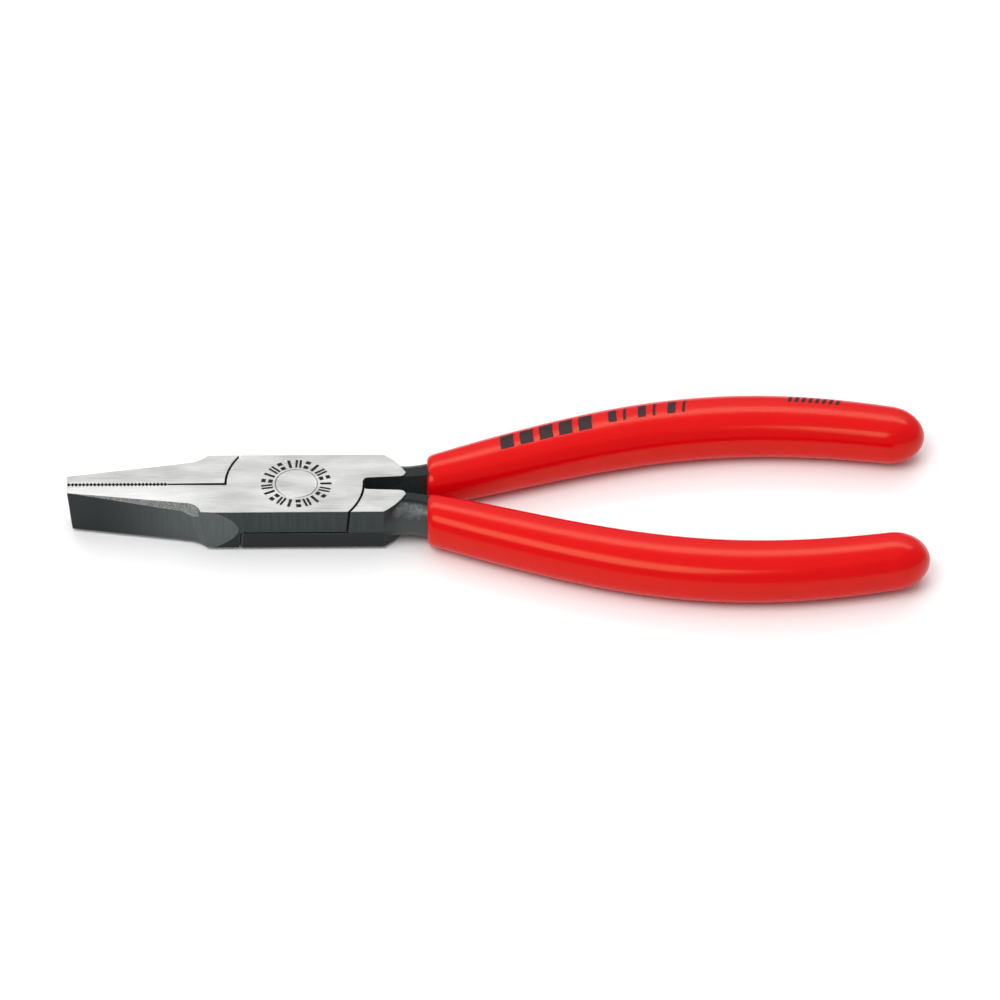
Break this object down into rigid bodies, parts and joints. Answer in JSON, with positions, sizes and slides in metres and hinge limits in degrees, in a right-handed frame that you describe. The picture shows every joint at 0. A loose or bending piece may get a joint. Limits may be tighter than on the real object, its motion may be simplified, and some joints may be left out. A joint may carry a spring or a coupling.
{
  "type": "flat nose pliers",
  "caption": "Lap-joint flat nose pliers with polished head, cross-cut flat jaws and red dipped plastic handle sleeves.",
  "frame": {"origin": "middle of the underside of the bounding box, with the closed pliers lying flat on their rear face", "axes": "+X runs from the jaws to the handle ends, +Y points to the upper handle, +Z is out of the front face of the head; the pivot axis is parallel to Z"},
  "size_m": [0.16, 0.0522, 0.0102],
  "materials": {
    "lever_steel": "ground bright on the two faces of the head, black oxide on the sides, necks and inner faces",
    "rivet_steel": "ground flush and bright",
    "handle_plastic": "glossy dipped red plastic"
  },
  "bodies": {
    "front_half": {"front_lever": "lever_steel", "pivot_rivet": "rivet_steel", "upper_handle_sleeve": "handle_plastic"},
    "rear_half": {"rear_lever": "lever_steel", "lower_handle_sleeve": "handle_plastic"}
  },
  "joints": [
    {"name": "pivot", "type": "hinge", "parent": "front_half", "child": "rear_half", "pos_m": [-0.0374, 0, 0.00509], "axis": [0, 0, -1], "range_deg": [0, 30]}
  ]
}
